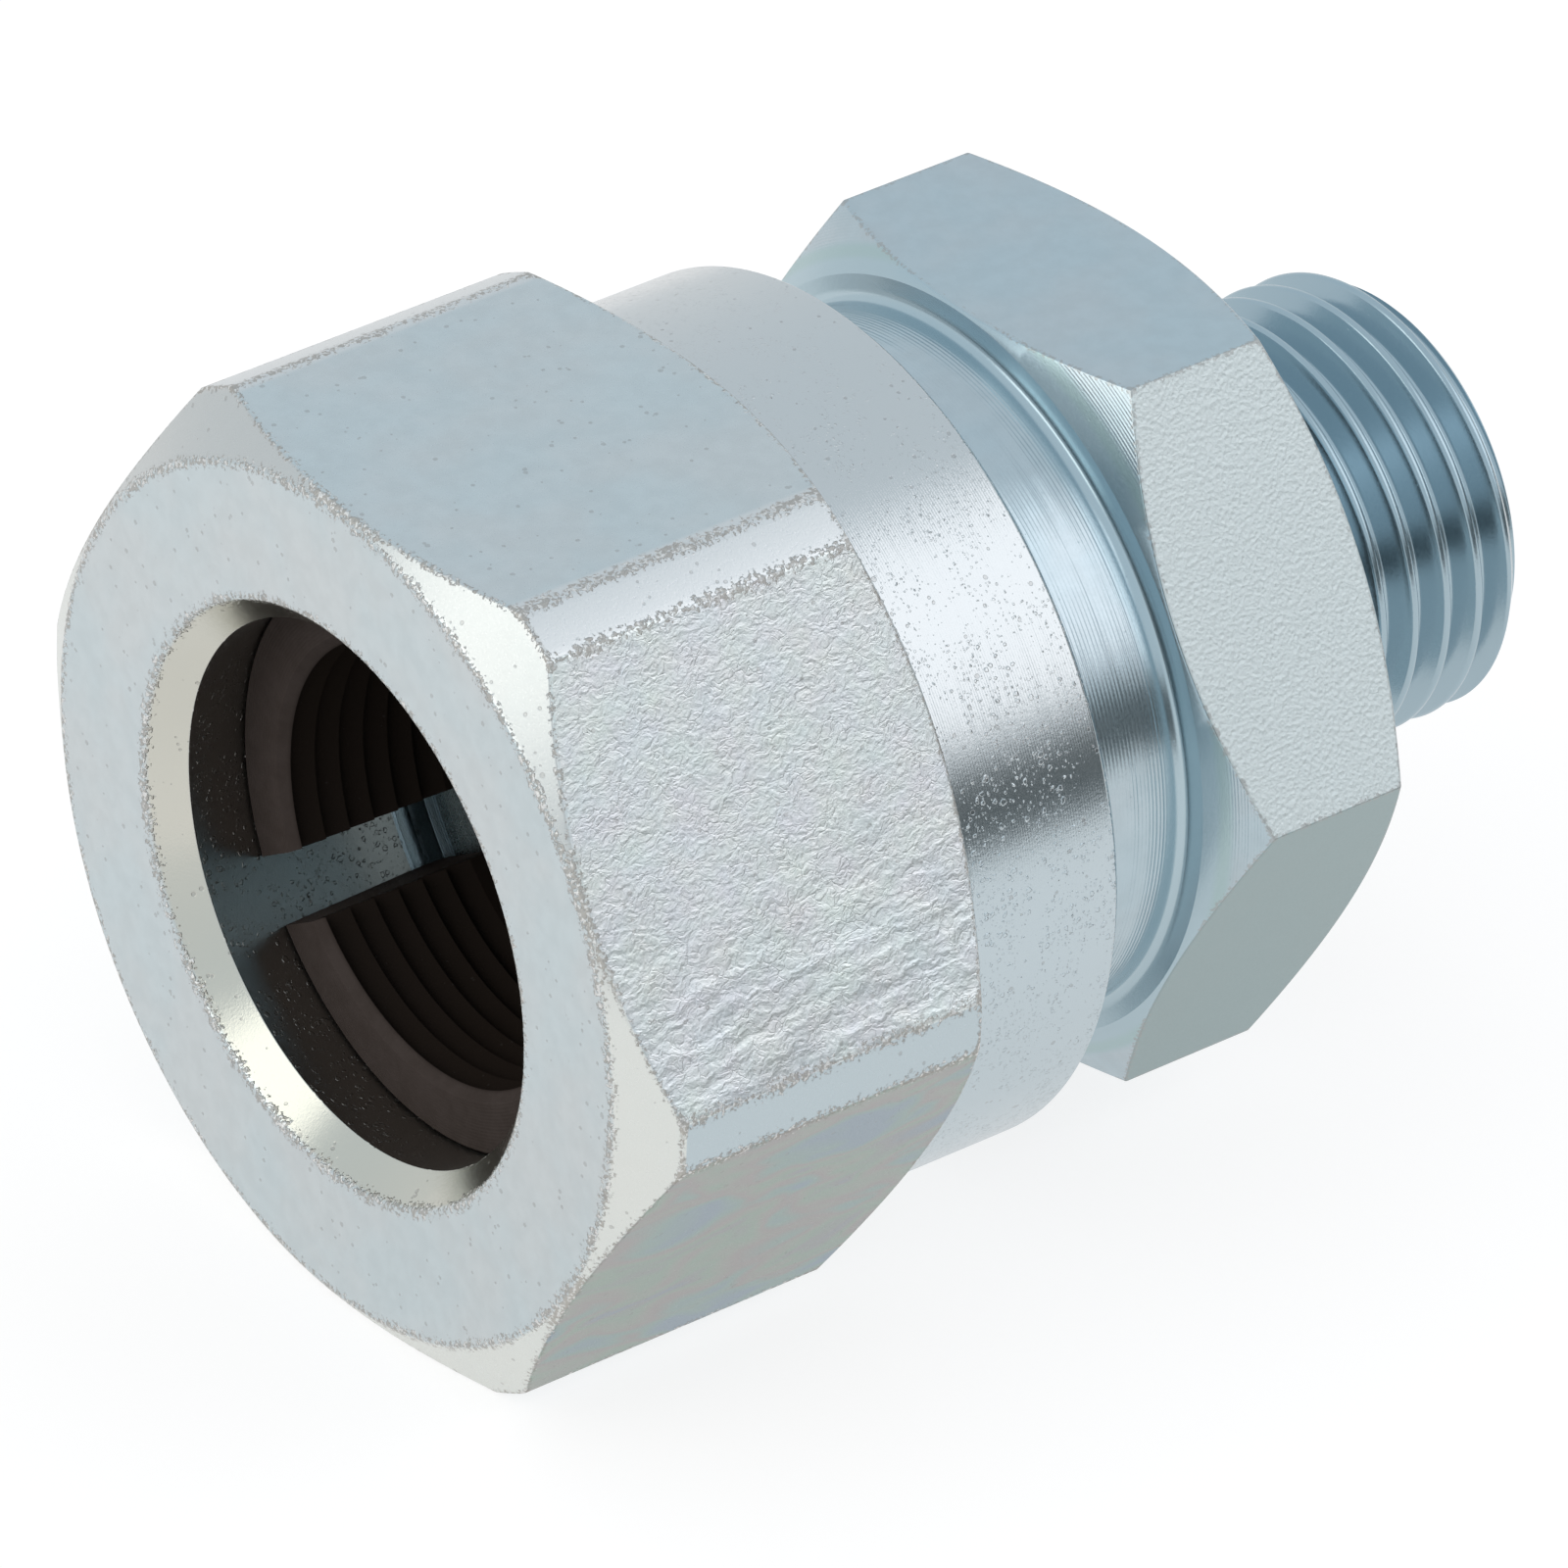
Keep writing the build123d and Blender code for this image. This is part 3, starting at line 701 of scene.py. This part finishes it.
def make_body_zinc():
    material, tree, shader, place = new_material("Zinc plate on the body", BODY_TURN)
    radius, along = radius_of(tree, place)
    # where things are
    on_hexagon = times(tree, ramp(tree, along, HEX_FRONT + 0.15, HEX_FRONT + 0.3),
                       ramp(tree, along, PORT_FACE - 0.15, PORT_FACE - 0.3))
    on_stud = ramp(tree, along, PORT_FACE, PORT_FACE + 0.2)
    grainy = on_flats(tree, out_across_flats(tree, place, GRAINY_FLAT), BODY_FLAT)
    shaded_flat = on_flats(tree, out_towards(tree, place, SHADED_FLAT), BODY_FLAT)
    out = largest(tree, *(out_across_flats(tree, place, degrees) for degrees in (30, 90, 150)))
    any_flat = on_flats(tree, out, BODY_FLAT)
    round_part = less(tree, 1.0, any_flat)
    shank = times(tree, ramp(tree, along, HEX_FRONT - 0.9, HEX_FRONT - 1.3), round_part)
    chamfer = times(tree, ramp(tree, radius, 18.6, 19.1), on_hexagon, round_part)
    lined = largest(tree, shank, chamfer)
    blue_part = times(tree, less(tree, 1.0, lined), round_part)
    teal_ring = times(tree, ramp(tree, radius, 18.1, 18.5), ramp(tree, radius, 19.1, 18.7),
                      blue_part, on_hexagon)
    # the shared effects
    plate = place_group(tree, PLATING, Place=place, Tint=(*BODY_ZINC, 1), Pits=0.35)
    lines = place_group(tree, TURNING_LINES, Place=place, Spacing=0.2)
    edges = place_group(tree, HEXAGON_EDGES, Place=place, Flat=BODY_FLAT, Corner=25.0, Front=HEX_FRONT,
                        Rear=PORT_FACE, Front_Radius=BODY_FACE, Rear_Radius=BODY_FACE,
                        Slope=math.tan(math.radians(BODY_SLOPE)), Width=0.28)["Edge"]
    wear = place_group(tree, SPECKLED_WEAR, Place=place, Edge=times(tree, edges, on_hexagon))

    # colour, a deeper blue where the plating is brightest: in the fillet and the thread
    colour = laid_over(tree, plate["Color"], blue_part, 0.85, BODY_BLUE)
    colour = laid_over(tree, colour, on_stud, 0.9, STUD_BLUE)
    colour = laid_over(tree, colour, teal_ring, 0.7, FACE_TEAL)
    colour = laid_over(tree, colour, grainy, 0.9, GRAINY_ZINC)
    # painted shade: the body's downward flat is darker
    colour = laid_over(tree, colour, shaded_flat, 0.9, SHADED_ZINC)
    colour = laid_over(tree, colour, wear["Worn"], 0.6, BODY_WORN)
    tree.links.new(colour, shader.inputs["Base Color"])
    shader.inputs["Metallic"].default_value = 1.0
    rough = plus(tree, ramp(tree, plate["Grain"], 0.3, 0.7, 0.17, 0.23),
                 times(tree, any_flat, 0.14), times(tree, grainy, 0.12))
    tree.links.new(rough, shader.inputs["Roughness"])

    # relief
    pebble_cells = cells(tree, place, 5.0, "SMOOTH_F1")
    pebble_cells.inputs["Smoothness"].default_value = 0.6
    pebbles = plus(tree, times(tree, pebble_cells.outputs["Distance"], 0.6),
                   noise(tree, place, 4.8, detail=4.0, rough=0.65))
    line_depth = less(tree, lined, times(tree, chamfer, 0.65))
    normal = bump(tree, plate["Height"], 0.006)
    normal = bump(tree, times(tree, lines["Height"], line_depth), 0.012, normal)
    normal = bump(tree, times(tree, pebbles, grainy), 0.029, normal)
    tree.links.new(normal, shader.inputs["Normal"])
    return material


def make_phosphate():
    material, tree, shader, place = new_material("Brown phosphate on the grip ring")
    radius, along = radius_of(tree, place)
    plate = place_group(tree, PLATING, Place=place, Pits=0.6)
    lines = place_group(tree, TURNING_LINES, Place=place, Spacing=0.16)
    bore = times(tree, ramp(tree, along, RING_FRONT + 0.3, RING_FRONT + 0.6),
                 ramp(tree, radius, 11.2, 10.9))
    clouds = ramp(tree, noise(tree, place, 0.9, detail=4.0, rough=0.6), 0.3, 0.7)
    # painted shade: the toothed bore is much darker than the ring's face
    colour = blend_colour(tree, bore, blend_colour(tree, clouds, BROWN_DARK, BROWN_LIGHT), BROWN_BORE_SHADE)
    colour = laid_over(tree, colour, plate["Pits"], 0.3, BROWN_PIT)
    tree.links.new(colour, shader.inputs["Base Color"])
    shader.inputs["Metallic"].default_value = 0.0
    shader.inputs["Specular IOR Level"].default_value = 0.03
    tree.links.new(ramp(tree, plate["Grain"], 0.3, 0.7, 0.42, 0.58), shader.inputs["Roughness"])
    turned_face = times(tree, lines["Height"], less(tree, 1.0, bore))
    normal = bump(tree, turned_face, 0.008, bump(tree, plate["Height"], 0.01))
    tree.links.new(normal, shader.inputs["Normal"])
    return material


def make_small_zinc():
    material, tree, shader, place = new_material("Zinc plate on the pressure ring")
    plate = place_group(tree, PLATING, Place=place, Tint=(*PRESSURE_ZINC, 1), Pits=0.4)
    lines = place_group(tree, TURNING_LINES, Place=place, Spacing=0.14)
    tree.links.new(plate["Color"], shader.inputs["Base Color"])
    shader.inputs["Metallic"].default_value = 1.0
    tree.links.new(ramp(tree, plate["Grain"], 0.3, 0.7, 0.22, 0.32), shader.inputs["Roughness"])
    tree.links.new(bump(tree, lines["Height"], 0.01), shader.inputs["Normal"])
    return material


def make_rubber():
    material, tree, shader, place = new_material("Black nitrile rubber")
    bloom = ramp(tree, noise(tree, place, 0.5, detail=4.0, rough=0.6), 0.35, 0.75)
    grain = noise(tree, place, 7.0, detail=3.0, rough=0.6)
    tree.links.new(blend_colour(tree, bloom, RUBBER_DARK, RUBBER_LIGHT), shader.inputs["Base Color"])
    tree.links.new(ramp(tree, grain, 0.3, 0.7, 0.50, 0.66), shader.inputs["Roughness"])
    tree.links.new(bump(tree, grain, 0.01), shader.inputs["Normal"])
    return material


# =====================================================================================
#  Pieces
# =====================================================================================
def make_nut(material):
    slope = math.tan(math.radians(NUT_SLOPE))
    cone_end = MOUTH + (RELIEF - LIP) * math.tan(math.radians(CONE_SLOPE))
    outline = [
        (NUT_FRONT, MOUTH_CHAMFER), (NUT_FRONT, NUT_FACE),
        (NUT_FRONT + (NUT_CORNER - NUT_FACE) * slope, NUT_CORNER),
        (NUT_STEP - (NUT_CORNER - COLLAR) * slope, NUT_CORNER),
        (NUT_STEP, COLLAR), (NUT_REAR - 0.3, COLLAR), (NUT_REAR, COLLAR - 0.3),
        (NUT_REAR, NUT_COUNTER), (NUT_COUNTERBORE, NUT_COUNTER), (NUT_COUNTERBORE, NUT_BORE),
        (RELIEF, NUT_BORE), (RELIEF, cone_end), (LIP, MOUTH),
    ]
    nut = turned("union_nut_dressed", rounded(
        outline, {0: 0.35, 1: 0.4, 5: 0.2, 6: 0.15, 7: 0.12, 12: 0.08}, 3))
    bar = hexagon_bar("nut_bar", NUT_FLAT, NUT_FRONT - BEYOND, NUT_REAR + BEYOND)
    combine(nut, bar, "INTERSECT")
    soften_flats(nut, NUT_FLAT, 0.14)
    profile = sixty_degree(NUT_BORE + NUT_THREAD_DEPTH, NUT_BORE - 0.02, BARREL_PITCH)
    tap = threaded("nut_tap", profile, BARREL_PITCH, RELIEF, NUT_TAP_START, NUT_TAP_END, 96)
    combine(nut, tap, "DIFFERENCE")
    return fit_out(nut, "nut", "union_nut", material)


def make_body(material):
    slope = math.tan(math.radians(BODY_SLOPE))
    beyond = BODY_FLAT / math.cos(math.radians(30)) + 0.5
    rise = (beyond - BODY_FACE) * slope
    outline = [
        (BARREL_FRONT, CHAMBER), (BARREL_FRONT, BARREL_ROOT - 0.1), (BARREL_FRONT + 0.1, BARREL_ROOT),
        (THREAD_END - 0.9, BARREL_ROOT), (THREAD_END - 0.08, SHANK), (HEX_FRONT, SHANK),
        (HEX_FRONT, BODY_FACE), (HEX_FRONT + rise, beyond), (PORT_FACE - rise, beyond),
        (PORT_FACE, BODY_FACE), (PORT_FACE, GROOVE_OUT), (PORT_FACE - GROOVE_DEPTH, GROOVE_OUT),
        (PORT_FACE - GROOVE_DEPTH, UNDERCUT), (STUD_END - 0.1, UNDERCUT), (STUD_END, UNDERCUT - 0.1),
        (STUD_END, FLOW), (TUBE_STOP, FLOW), (TUBE_STOP, SOCKET), (CONE_END, SOCKET),
        (CHAMBER_END, CHAMBER),
    ]
    arcs = {0: 0.15, 5: SHANK_FILLET, 9: 0.2, 10: 0.12, 15: 0.3, 16: 0.2, 18: 0.2}
    body = turned("fitting_body_dressed", rounded(outline, arcs, 6))
    bar = hexagon_bar("body_bar", BODY_FLAT, BARREL_FRONT - BEYOND, STUD_END + BEYOND)
    combine(body, bar, "INTERSECT")
    soften_flats(body, BODY_FLAT, 0.10)

    stud = threaded("stud_thread", whitworth(STUD_CREST, STUD_PITCH, STUD_DEPTH), STUD_PITCH,
                    STUD_PITCH * STUD_PHASE, UNDERCUT_END - BEYOND, STUD_END + BEYOND, 160)
    combine(stud, turned("stud_sleeve", STUD_SLEEVE), "INTERSECT")
    combine(body, stud, "UNION")
    barrel = threaded("barrel_thread", sixty_degree(BARREL_CREST, BARREL_ROOT + 0.01, BARREL_PITCH),
                      BARREL_PITCH, BARREL_FRONT, BARREL_FRONT - BEYOND, THREAD_END + BEYOND, 128)
    combine(barrel, turned("barrel_sleeve", BARREL_SLEEVE), "INTERSECT")
    combine(body, barrel, "UNION")
    only(body)
    body.data.transform(Matrix.Rotation(math.radians(BODY_TURN), 4, "X"))
    return fit_out(body, "body", "fitting_body", material)


def make_grip_ring(material):
    def cone(x):
        return MOUTH + (x - LIP) * math.tan(math.radians(CONE_SLOPE)) - RING_PLAY
    tip = RING_FRONT + RING_LIP
    outline = [(RING_FRONT, RING_TIP + RING_LIP), (tip, RING_TIP)]
    for tooth in range(RING_TEETH):
        start = tip + tooth * TOOTH_PITCH
        outline += [(start + TOOTH_BACK, RING_ROOT), (start + TOOTH_PITCH, RING_TIP)]
    outline += [(RING_REAR - RING_LIP, RING_TIP), (RING_REAR, RING_TIP + RING_LIP),
                (RING_REAR, cone(RELIEF) - 0.5), (RING_REAR - 0.5, cone(RELIEF)),
                (RELIEF, cone(RELIEF)), (RING_FRONT, cone(RING_FRONT))]
    ring = turned("grip_ring_dressed", rounded(outline, {len(outline) - 1: 0.15, 0: 0.08}, 3))
    only(None)
    turn, middle = math.radians(RING_SLOT_DEG), (RING_FRONT + RING_REAR) / 2
    wall = 12                                  # the saw is set this far from the axis
    bpy.ops.mesh.primitive_cube_add(
        size=1, location=(middle * MM, wall * math.cos(turn) * MM, wall * math.sin(turn) * MM),
        rotation=(turn, 0, 0), scale=(12 * MM, 10 * MM, RING_SLOT * MM))
    saw = bpy.context.object
    bpy.ops.object.transform_apply(location=True, rotation=True, scale=True)
    combine(ring, saw, "DIFFERENCE")
    return fit_out(ring, "ring", "grip_ring", material, 25)


def make_small_rings(zinc, rubber):
    pressure = turned("pressure_ring_dressed", rounded(PRESSURE_RING, PRESSURE_ARCS))
    fit_out(pressure, "body", "pressure_ring", zinc)
    seal = turned("tube_seal_dressed", rounded(TUBE_SEAL, TUBE_SEAL_ARCS))
    fit_out(seal, "body", "tube_seal", rubber)
    face_seal = turned("stud_seal_dressed", rounded(STUD_SEAL, STUD_SEAL_ARCS))
    fit_out(face_seal, "body", "stud_seal", rubber)


make_nut(make_nut_zinc())
make_body(make_body_zinc())
make_grip_ring(make_phosphate())
make_small_rings(make_small_zinc(), make_rubber())


# =====================================================================================
#  Floor, light and camera
# =====================================================================================
MIDDLE = Vector((-0.015, 0, 0))               # of the object, which the floor and lamps are set to


def make_floor():
    """A pale table under the nut's lowest flat: white to the camera, a little less in reflections."""
    only(None)
    under = NUT_FLAT + 0.02
    bpy.ops.mesh.primitive_circle_add(vertices=96, radius=0.2, fill_type="NGON",
                                      location=(MIDDLE.x, 0, -under * MM))
    floor = bpy.context.object
    floor.name = "floor"
    bpy.ops.object.transform_apply(location=True, rotation=True, scale=True)
    material = bpy.data.materials.new("White table")
    material.use_nodes = True
    tree = material.node_tree
    shader = tree.nodes["Principled BSDF"]
    shader.inputs["Base Color"].default_value = (0.32, 0.32, 0.32, 1)
    shader.inputs["Roughness"].default_value = 0.9
    shader.inputs["Specular IOR Level"].default_value = 0.0
    rays = tree.nodes.new("ShaderNodeLightPath")
    reflected = largest(tree, rays.outputs["Is Glossy Ray"], rays.outputs["Is Transmission Ray"])
    seen = largest(tree, rays.outputs["Is Camera Ray"], times(tree, reflected, 0.86))
    tree.links.new(times(tree, seen, 0.76), shader.inputs["Emission Strength"])
    shader.inputs["Emission Color"].default_value = (1, 1, 1, 1)
    floor.data.materials.append(material)


def make_room():
    """A soft grey-white dome, white to the camera, with a dark gap above the table on one side."""
    world = bpy.data.worlds.new("Studio")
    bpy.context.scene.world = world
    world.use_nodes = True
    tree = world.node_tree
    background = tree.nodes["Background"]
    way = tree.nodes.new("ShaderNodeTexCoord").outputs["Generated"]
    split = tree.nodes.new("ShaderNodeSeparateXYZ")
    tree.links.new(way, split.inputs[0])
    height = split.outputs["Z"]
    gap_height, gap_side = 0.035, math.radians(-58)
    towards = vectors(tree, "DOT_PRODUCT", way, (math.cos(gap_side), math.sin(gap_side), 0))
    above = maths(tree, "ABSOLUTE", less(tree, height, gap_height))
    gap = times(tree, ramp(tree, above, 0.22, 0.12), ramp(tree, towards, 0.35, 0.75))
    dome = blend_colour(tree, ramp(tree, height, -0.2, 0.7), (0.80, 0.83, 0.85), (0.70, 0.77, 0.82))
    mirrored = blend_colour(tree, gap, dome, (0.125, 0.14, 0.145))
    rays = tree.nodes.new("ShaderNodeLightPath")
    reflected = largest(tree, rays.outputs["Is Glossy Ray"], rays.outputs["Is Transmission Ray"])
    seen = blend_colour(tree, reflected, (0.74, 0.76, 0.78), mirrored)
    seen = blend_colour(tree, rays.outputs["Is Camera Ray"], seen, (1.0, 1.0, 1.0))
    tree.links.new(seen, background.inputs["Color"])
    background.inputs["Strength"].default_value = 1.0


def make_softbox(name, azimuth, elevation, size, watts, tint):
    """A soft rectangular lamp that faces the object and isn't seen by the camera."""
    distance = 0.9
    a, e = math.radians(azimuth), math.radians(elevation)
    way = Vector((math.cos(a) * math.cos(e), math.sin(a) * math.cos(e), math.sin(e)))
    lamp = bpy.data.lights.new(name, "AREA")
    lamp.shape, lamp.size, lamp.size_y = "RECTANGLE", size[0], size[1]
    lamp.energy, lamp.color = watts, tint
    holder = bpy.data.objects.new(name, lamp)
    bpy.context.scene.collection.objects.link(holder)
    holder.location = MIDDLE + way * distance
    holder.rotation_mode = "QUATERNION"
    holder.rotation_quaternion = (-way).to_track_quat("-Z", "Y")
    holder.visible_camera = False


def make_camera():
    """A long lens from the nut's side and above, slightly rolled."""
    place = (-0.39740, -0.47437, 0.41910)
    yaw, pitch, roll = (math.radians(v) for v in (-38.53, 34.86, 2.43))
    forward = Vector((-math.sin(yaw) * math.cos(pitch), math.cos(yaw) * math.cos(pitch),
                      -math.sin(pitch)))
    level = Vector((math.cos(yaw), math.sin(yaw), 0))
    upright = level.cross(forward)
    right = level * math.cos(roll) + upright * math.sin(roll)
    up = upright * math.cos(roll) - level * math.sin(roll)
    camera = bpy.data.cameras.new("camera")
    camera.sensor_width, camera.lens = 36, 386.57
    camera.clip_start, camera.clip_end = 0.05, 10
    holder = bpy.data.objects.new("camera", camera)
    bpy.context.scene.collection.objects.link(holder)
    turn = Matrix((right, up, -forward)).transposed().to_4x4()
    holder.matrix_world = Matrix.Translation(place) @ turn
    bpy.context.scene.camera = holder


make_floor()
make_room()
make_softbox("softbox_right", -40, 38, (0.66, 0.69), 1.0, (1.0, 0.935, 0.93))
make_softbox("softbox_left", 168, 27, (0.62, 0.72), 1.4, (1.0, 0.97, 0.89))
make_camera()
bpy.context.scene.view_settings.view_transform = "Standard"
